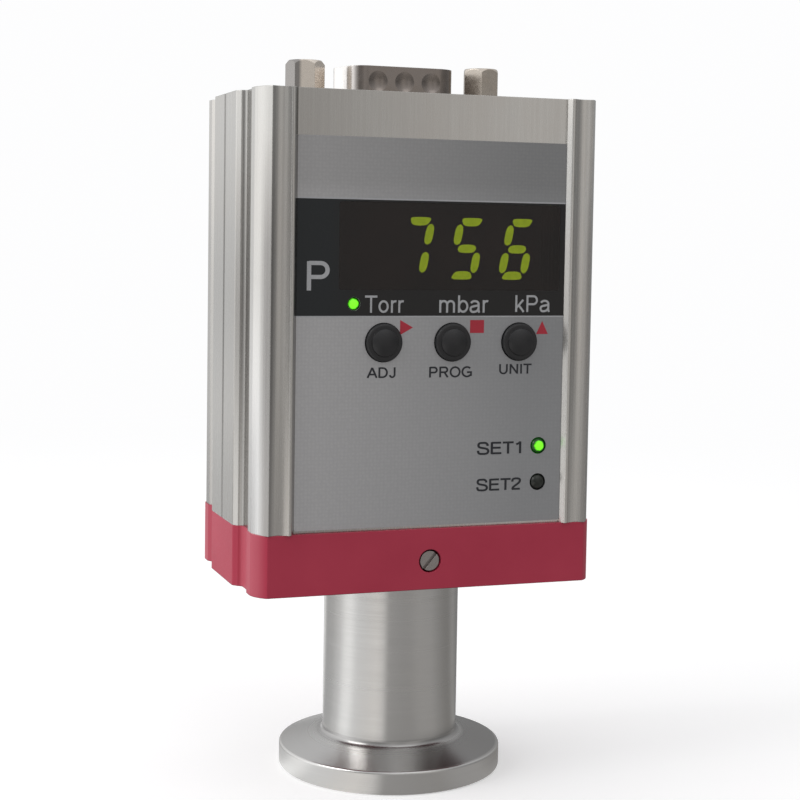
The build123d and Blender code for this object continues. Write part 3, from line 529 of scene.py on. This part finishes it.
# plain block lettering: width of the character, then the centre lines of its strokes
GLYPHS = {
    "P": (667, [[(125, 0), (125, 716)], [(125, 674)] + arc(400, 503, 165, 171, 90, -90) + [(125, 332)]]),
    "T": (611, [[(21, 674), (591, 674)], [(306, 0), (306, 640)]]),
    "o": (556, [("ring", ring(278, 259, 192, 220))]),
    "r": (345, [[(110, 0), (110, 519)], arc(258, 330, 148, 148, 180, 68)]),
    "m": (833, [[(110, 0), (110, 519)], arc(263, 330, 153, 148, 180, 0) + [(416, 0)], arc(569, 330, 153, 148, 180, 0) + [(722, 0)]]),
    "b": (556, [[(110, 0), (110, 716)], ("ring", ring(300, 259, 186, 220))]),
    "a": (556, [arc(262, 352, 176, 126, 160, 0) + [(438, 110), (468, 0)],
                smooth_path([(438, 306), (320, 282), (200, 262), (84, 220), (72, 110), (130, 30), (270, 30), (390, 80), (438, 190)])]),
    "k": (500, [[(110, 0), (110, 716)], [(110, 165), (430, 519)], [(222, 290), (455, 0)]]),
    "A": (667, [[(45, 0), (333, 704)], [(621, 0), (333, 704)], [(150, 236), (516, 236)]]),
    "D": (722, [[(125, 0), (125, 716)], [(125, 674)] + arc(340, 358, 270, 316, 90, -90) + [(125, 42)]]),
    "J": (500, [[(375, 716)] + arc(225, 205, 150, 175, 0, -172)]),
    "R": (722, [[(125, 0), (125, 716)], [(125, 674)] + arc(430, 510, 160, 164, 90, -90) + [(125, 346)], [(400, 346), (625, 0)]]),
    "O": (778, [("ring", ring(389, 358, 302, 324))]),
    "G": (778, [arc(395, 358, 305, 324, 46, 312, 22) + [(668, 130), (668, 328), (400, 328)]]),
    "U": (722, [[(125, 716)] + arc(361, 280, 236, 248, 180, 360) + [(597, 716)]]),
    "N": (722, [[(125, 0), (125, 716)], [(125, 690), (597, 26)], [(597, 0), (597, 716)]]),
    "I": (278, [[(139, 0), (139, 716)]]),
    "S": (667, [smooth_path([(572, 500), (565, 600), (470, 690), (320, 690), (130, 680), (85, 520), (150, 420), (330, 375),
                             (520, 335), (625, 220), (580, 60), (430, 24), (330, 24), (130, 40), (85, 150), (80, 232)])]),
    "E": (667, [[(125, 0), (125, 716)], [(125, 674), (610, 674)], [(125, 375), (585, 375)], [(125, 42), (628, 42)]]),
    "1": (556, [[(325, 0), (325, 716)], [(325, 690), (240, 600), (115, 548)]]),
    "2": (556, [smooth_path([(76, 500), (82, 650), (200, 694), (330, 694), (500, 660), (490, 470), (360, 350), (180, 210), (100, 120), (82, 42)]),
                [(50, 42), (507, 42)]]),
}


def ribbon(points, half, closed):
    """Both edges of a stroke, mitred at its corners."""
    edges = []
    n = len(points)
    for i, p in enumerate(points):
        a = points[i - 1] if closed or i > 0 else None
        b = points[(i + 1) % n] if closed or i < n - 1 else None
        dirs = []
        for u, v in ((a, p), (p, b)):
            if u is not None and v is not None:
                l = math.hypot(v[0] - u[0], v[1] - u[1]) or 1.0
                dirs.append(((v[0] - u[0]) / l, (v[1] - u[1]) / l))
        nx = -sum(d[1] for d in dirs)
        nz = sum(d[0] for d in dirs)
        l = math.hypot(nx, nz) or 1.0
        nx, nz = nx / l, nz / l
        k = half / max(0.5, -nx * dirs[0][1] + nz * dirs[0][0])
        edges.append(((p[0] + nx * k, p[1] + nz * k), (p[0] - nx * k, p[1] - nz * k)))
    return edges


def text(name, body, x0, x1, z0, z1, y_front, thick, mat, weight=90.0, space=0.0):
    """Plain lettering that fills the given box on the front, each stroke a thin closed solid."""
    pen, strokes = 0.0, []
    for ch in body:
        width, paths = GLYPHS[ch]
        for path in paths:
            closed = path[0] == "ring"
            pts = path[1] if closed else path
            strokes.append((ribbon([(x + pen, z) for x, z in pts], weight / 2, closed), closed))
        pen += width + space
    flat = [q for e, _ in strokes for pair in e for q in pair]
    lo_x, hi_x = min(q[0] for q in flat), max(q[0] for q in flat)
    lo_z, hi_z = min(q[1] for q in flat), max(q[1] for q in flat)
    kx, kz = (x1 - x0) / (hi_x - lo_x), (z1 - z0) / (hi_z - lo_z)
    verts, faces = [], []
    for k, (edges, closed) in enumerate(strokes):
        first = len(verts)
        for left, right in edges:
            for y in (y_front + 0.0015 * (k % 6), y_front + thick):
                for q in (left, right):
                    verts.append(((x0 + (q[0] - lo_x) * kx) * MM, y * MM, (z0 + (q[1] - lo_z) * kz) * MM))
        n = len(edges)
        for i in range(n if closed else n - 1):
            a, b = first + 4 * i, first + 4 * ((i + 1) % n)
            faces += [(a, a + 1, b + 1, b), (a + 3, a + 2, b + 2, b + 3), (a + 2, a, b, b + 2), (a + 1, a + 3, b + 3, b + 1)]
        if not closed:
            z = first + 4 * (n - 1)
            faces += [(first, first + 2, first + 3, first + 1), (z + 1, z + 3, z + 2, z)]
    mesh = bpy.data.meshes.new(name)
    mesh.from_pydata(verts, [], faces)
    work = bmesh.new()
    work.from_mesh(mesh)
    bmesh.ops.recalc_face_normals(work, faces=work.faces)
    work.to_mesh(mesh)
    work.free()
    mesh.materials.append(mat)
    piece = bpy.data.objects.new(name, mesh)
    bpy.context.scene.collection.objects.link(piece)
    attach(piece, ROOT)
    return piece


LABEL = -14.6
INK = 0.02       # how far print stands on the film
win = (-12.6, 17.35, 64.9, 75.85)
band = [rounded_rect(-18.03, 18.03, 61.65, 76.1, 0.05), rounded_rect(win[0] - 0.01, win[1] + 0.01, win[2] - 0.01, win[3] + 0.01, 0.40)]
band += [circle(-10.6, unit_z, 0.86)]
film("label_band", band, LABEL - INK, INK + 0.01, M["label_black"])
film("label_line_top", [rounded_rect(-18.03, 18.03, 76.1, 76.28, 0.03)], LABEL - INK, INK + 0.01, M["label_white"])
film("label_line_low", [rounded_rect(-18.03, 18.03, 61.47, 61.65, 0.03)], LABEL - INK, INK + 0.01, M["label_white"])

WHITE = -14.6 - 2 * INK
text("print_p", "P", -16.73, -13.8, 64.79, 68.44, WHITE, INK + 0.005, M["label_white"], 102.0)
text("print_torr", "Torr", -9.16, -4.0, 62.02, 64.2, WHITE, INK + 0.005, M["label_white"])
text("print_mbar", "mbar", 0.75, 7.48, 62.0, 64.25, WHITE, INK + 0.005, M["label_white"])
text("print_kpa", "kPa", 11.21, 16.09, 62.05, 64.3, WHITE, INK + 0.005, M["label_white"])
DARK = -14.6 - INK
text("print_adj", "ADJ", -8.79, -4.97, 53.82, 55.21, DARK, INK + 0.01, M["label_print"], 122.0)
text("print_prog", "PROG", -0.46, 5.38, 53.76, 55.22, DARK, INK + 0.01, M["label_print"], 122.0)
text("print_unit", "UNIT", 9.14, 13.69, 54.1, 55.45, DARK, INK + 0.01, M["label_print"], 122.0)
text("print_set1", "SET1", 6.26, 12.47, 43.72, 45.42, DARK, INK + 0.01, M["label_print"], 122.0)
text("print_set2", "SET2", 6.26, 12.52, 39.0, 40.66, DARK, INK + 0.01, M["label_print"], 122.0)
film("print_arrow", [[(-4.45, 59.24), (-2.74, 60.18), (-4.45, 61.13)]], DARK, INK + 0.01, M["label_red"])
film("print_square", [[(5.02, 59.45), (6.92, 59.45), (6.92, 61.1), (5.02, 61.1)]], DARK, INK + 0.01, M["label_red"])
film("print_triangle", [[(14.22, 59.27), (15.88, 59.27), (15.05, 60.96)]], DARK, INK + 0.01, M["label_red"])

# seven-segment digits: shapes for one cell, then the four cells
HW, HH, T = 2.05, 3.95, 1.07
segment = {
    "a": [(-1.15, HH), (1.15, HH), (1.42, HH - 0.25), (1.0, HH - T), (-1.0, HH - T), (-1.42, HH - 0.25)],
    "d": [(-1.15, -HH), (-1.42, -HH + 0.3), (-0.98, -HH + T), (0.98, -HH + T), (1.42, -HH + 0.3), (1.15, -HH)],
    "g": [(-1.32, 0), (-0.95, T / 2), (0.95, T / 2), (1.32, 0), (0.95, -T / 2), (-0.95, -T / 2)],
    "b": [(HW - T / 2, 3.2), (HW, 2.72), (HW, 0.82), (HW - T / 2, 0.42), (HW - T, 0.74), (HW - T, 2.72)],
}
segment["f"] = [(-x, z) for x, z in segment["b"]]
segment["c"] = [(x, -z) for x, z in segment["b"]]
segment["e"] = [(-x, -z) for x, z in segment["b"]]
lit_parts = {-8.75: "", -1.74: "abc", 5.29: "afgcd", 12.31: "afgecd"}
slant = math.tan(math.radians(10.5))
centre_z = 70.15
FACE = -12.3
for k, (cx, on) in enumerate(lit_parts.items()):
    bright, dim = [], []
    for key, pts in segment.items():
        loop = smooth_loop([(cx + x + z * slant, centre_z + z) for x, z in pts])
        (bright if key in on else dim).append(loop)
    dim.append(circle(cx + 2.62, centre_z - HH + 0.45, 0.5, 24))
    if bright:
        film("digit_lit_%d" % (k + 1), bright, FACE - 0.05, 0.06, M["segment_lit"])
    film("digit_dark_%d" % (k + 1), dim, FACE - 0.03, 0.04, M["segment_dark"])

# ------------------------------------------------------------------ floor and light
def disc(name, radius, z, mat):
    n = 96
    mesh = bpy.data.meshes.new(name)
    mesh.from_pydata([(radius * math.cos(2 * math.pi * i / n), radius * math.sin(2 * math.pi * i / n), 0) for i in range(n)],
                     [], [tuple(range(n))])
    mesh.materials.append(mat)
    obj = bpy.data.objects.new(name, mesh)
    obj.location = (0, 0, z)
    bpy.context.scene.collection.objects.link(obj)
    return obj


# bright table that runs out into an even white backdrop
fm = Mat("floor")
paper = fm.noise(fm.mm(), 0.02, 2.0, 0.5)
fx, fy, fz = fm.xyz(fm.mm())
dist = fm.math("SQRT", fm.math("ADD", fm.math("MULTIPLY", fx, fx), fm.math("MULTIPLY", fy, fy)))
fm.set(color=fm.mix(fm.ramp(paper, 0.3, 0.7, 0.0, 1.0), (0.86, 0.86, 0.865), (0.88, 0.88, 0.885)), rough=0.8, spec=0.1,
       emit=(1.0, 1.0, 1.0, 1.0), emit_s=0.30)
far = fm.node("ShaderNodeEmission")
far.inputs["Color"].default_value = (0.985, 0.985, 0.99, 1.0)
blend = fm.node("ShaderNodeMixShader")
edge = fm.node("ShaderNodeMapRange", interpolation_type="SMOOTHSTEP")
fm.put(edge.inputs["Value"], dist)
fm.put(edge.inputs["From Min"], 60.0)
fm.put(edge.inputs["From Max"], 420.0)
fm.put(blend.inputs[0], edge.outputs[0])
fm.put(blend.inputs[1], fm.p.outputs[0])
fm.put(blend.inputs[2], far.outputs[0])
fm.put(fm.out.inputs[0], blend.outputs[0])
floor = disc("floor", 14.0, -0.00002, fm.m)
floor.visible_glossy = False
floor.visible_diffuse = False


def around(ramp, table, k):
    """Fill a colour ramp with brightness against the angle round the object, 0 behind it and -90 on its left."""
    table = sorted(table)
    cr = ramp.color_ramp
    while len(cr.elements) > 1:
        cr.elements.remove(cr.elements[-1])
    for i, (angle, light, warm) in enumerate(table):
        e = cr.elements[0] if i == 0 else cr.elements.new((angle + 180.0) / 360.0)
        e.position = (angle + 180.0) / 360.0
        e.color = (light * k * (1 + warm), light * k, light * k * (1 - warm), 1.0)


# what polished metal near the table sees of it
tm = Mat("table_glow")
tx, ty, tz = tm.xyz(tm.mm())
turn = tm.math("ADD", tm.math("MULTIPLY", tm.math("ARCTAN2", tx, ty), 0.5 / math.pi), 0.5)
table_ramp = tm.node("ShaderNodeValToRGB")
tm.put(table_ramp.inputs[0], turn)
around(table_ramp, [(-180, 0.36, 0.02), (-158, 0.38, 0.02), (-150, 0.80, 0.02), (-140, 0.93, 0.03), (-122, 0.86, 0.01), (-106, 0.86, 0.0),
                    (-92, 1.18, 0.0), (-82, 1.12, 0.0), (-70, 0.76, 0.0), (-50, 0.54, 0.0), (-25, 0.46, 0.0), (-8, 0.95, 0.0),
                    (14, 0.60, 0.0), (34, 0.24, 0.0), (54, 0.24, 0.01), (71, 0.36, 0.02), (88, 0.26, 0.03), (100, 0.28, 0.03), (116, 0.35, 0.02),
                    (130, 0.42, 0.02), (150, 0.41, 0.02), (168, 0.35, 0.02), (180, 0.36, 0.02)], 0.5)
glow = tm.node("ShaderNodeEmission")
tm.put(glow.inputs["Color"], table_ramp.outputs[0])
glow.inputs["Strength"].default_value = 2.0
tm.put(tm.out.inputs[0], glow.outputs[0])
table = disc("table_glow", 0.42, -0.0004, tm.m)
table.visible_camera = False
table.visible_diffuse = False
table.visible_transmission = False
table.visible_shadow = False

world = bpy.data.worlds.new("studio")
bpy.context.scene.world = world
world.use_nodes = True
wt = world.node_tree
wt.nodes.clear()
w_out = wt.nodes.new("ShaderNodeOutputWorld")
coord = wt.nodes.new("ShaderNodeTexCoord")


def w_math(op, a, b=0.0):
    n = wt.nodes.new("ShaderNodeMath")
    n.operation = op
    for socket, v in zip(n.inputs, (a, b)):
        if isinstance(v, bpy.types.NodeSocket):
            wt.links.new(v, socket)
        else:
            socket.default_value = v
    return n.outputs[0]


def w_mix(fac, a, b):
    n = wt.nodes.new("ShaderNodeMix")
    n.data_type = "RGBA"
    for socket, v in ((n.inputs[0], fac), (n.inputs[6], a), (n.inputs[7], b)):
        if isinstance(v, bpy.types.NodeSocket):
            wt.links.new(v, socket)
        else:
            socket.default_value = v
    return n.outputs[2]


split = wt.nodes.new("ShaderNodeSeparateXYZ")
wt.links.new(coord.outputs["Generated"], split.inputs[0])
turn = w_math("ADD", w_math("MULTIPLY", w_math("ARCTAN2", split.outputs[0], split.outputs[1]), 0.5 / math.pi), 0.5)
walls = wt.nodes.new("ShaderNodeValToRGB")
wt.links.new(turn, walls.inputs[0])
around(walls, [(-180, 0.40, 0.02), (-166, 0.60, 0.02), (-154, 0.34, 0.02), (-140, 0.26, 0.01), (-129, 0.38, 0.01), (-118, 0.58, 0.0),
               (-106, 0.95, 0.0), (-92, 1.38, 0.0), (-68, 1.50, 0.0), (-45, 1.25, 0.0), (-25, 0.98, 0.0), (-12, 0.84, 0.0), (2, 0.52, 0.0),
               (18, 0.32, 0.0), (40, 0.32, 0.0), (70, 0.36, 0.0), (95, 0.24, 0.0), (120, 0.22, 0.01), (138, 0.30, 0.02), (150, 0.50, 0.03), (163, 0.56, 0.03), (174, 0.46, 0.03),
               (180, 0.40, 0.02)], 0.5)
walls_low = wt.nodes.new("ShaderNodeValToRGB")
wt.links.new(turn, walls_low.inputs[0])
around(walls_low, [(-180, 0.40, 0.02), (-166, 0.60, 0.02), (-154, 0.34, 0.02), (-140, 0.22, 0.01), (-128, 0.26, 0.01), (-112, 0.42, 0.0),
                   (-95, 0.66, 0.0), (-78, 0.96, 0.0), (-62, 1.30, 0.0), (-44, 1.36, 0.0), (-25, 0.98, 0.0), (-12, 0.84, 0.0),
                   (2, 0.52, 0.0), (18, 0.32, 0.0), (40, 0.32, 0.0), (70, 0.32, 0.0), (95, 0.22, 0.0), (120, 0.20, 0.01),
                   (138, 0.28, 0.02), (150, 0.50, 0.03), (163, 0.56, 0.03), (174, 0.46, 0.03), (180, 0.40, 0.02)], 0.5)
height = wt.nodes.new("ShaderNodeMapRange")
height.interpolation_type = "SMOOTHSTEP"
wt.links.new(split.outputs[2], height.inputs["Value"])
height.inputs["From Min"].default_value = -0.06
height.inputs["From Max"].default_value = 0.09
side_light = wt.nodes.new("ShaderNodeVectorMath")
side_light.operation = "SCALE"
wt.links.new(w_mix(height.outputs[0], walls_low.outputs[0], walls.outputs[0]), side_light.inputs[0])
side_light.inputs["Scale"].default_value = 2.0
upward = w_math("POWER", w_math("MAXIMUM", split.outputs[2], 0.0), 1.4)
downward = w_math("POWER", w_math("MAXIMUM", w_math("MULTIPLY", split.outputs[2], -1.0), 0.0), 1.4)
total = w_mix(upward, side_light.outputs[0], (0.85, 0.85, 0.86, 1.0))
total = w_mix(downward, total, (0.16, 0.16, 0.16, 1.0))
light_side = wt.nodes.new("ShaderNodeBackground")
wt.links.new(total, light_side.inputs["Color"])
seen = wt.nodes.new("ShaderNodeBackground")
seen.inputs["Color"].default_value = (0.985, 0.985, 0.99, 1.0)
path = wt.nodes.new("ShaderNodeLightPath")
pick = wt.nodes.new("ShaderNodeMixShader")
wt.links.new(path.outputs["Is Camera Ray"], pick.inputs[0])
wt.links.new(light_side.outputs[0], pick.inputs[1])
wt.links.new(seen.outputs[0], pick.inputs[2])
wt.links.new(pick.outputs[0], w_out.inputs[0])


def area(name, place, target, size_x, size_y, radiance, rgb=(1, 1, 1)):
    light = bpy.data.lights.new(name, "AREA")
    light.shape = "RECTANGLE"
    light.size = size_x
    light.size_y = size_y
    light.energy = radiance * math.pi * size_x * size_y
    light.color = rgb
    obj = bpy.data.objects.new(name, light)
    bpy.context.scene.collection.objects.link(obj)
    obj.location = place
    obj.rotation_euler = (Vector(target) - Vector(place)).to_track_quat("-Z", "Y").to_euler()
    return obj


area("key_left", (-0.60, -0.06, 0.58), (0, 0, 0.06), 0.40, 0.40, 2.6, (1.0, 0.99, 0.98))
area("fill_front", (0.15, -0.45, 0.85), (0, 0, 0.06), 0.55, 0.4, 0.40, (1.0, 1.0, 1.0))
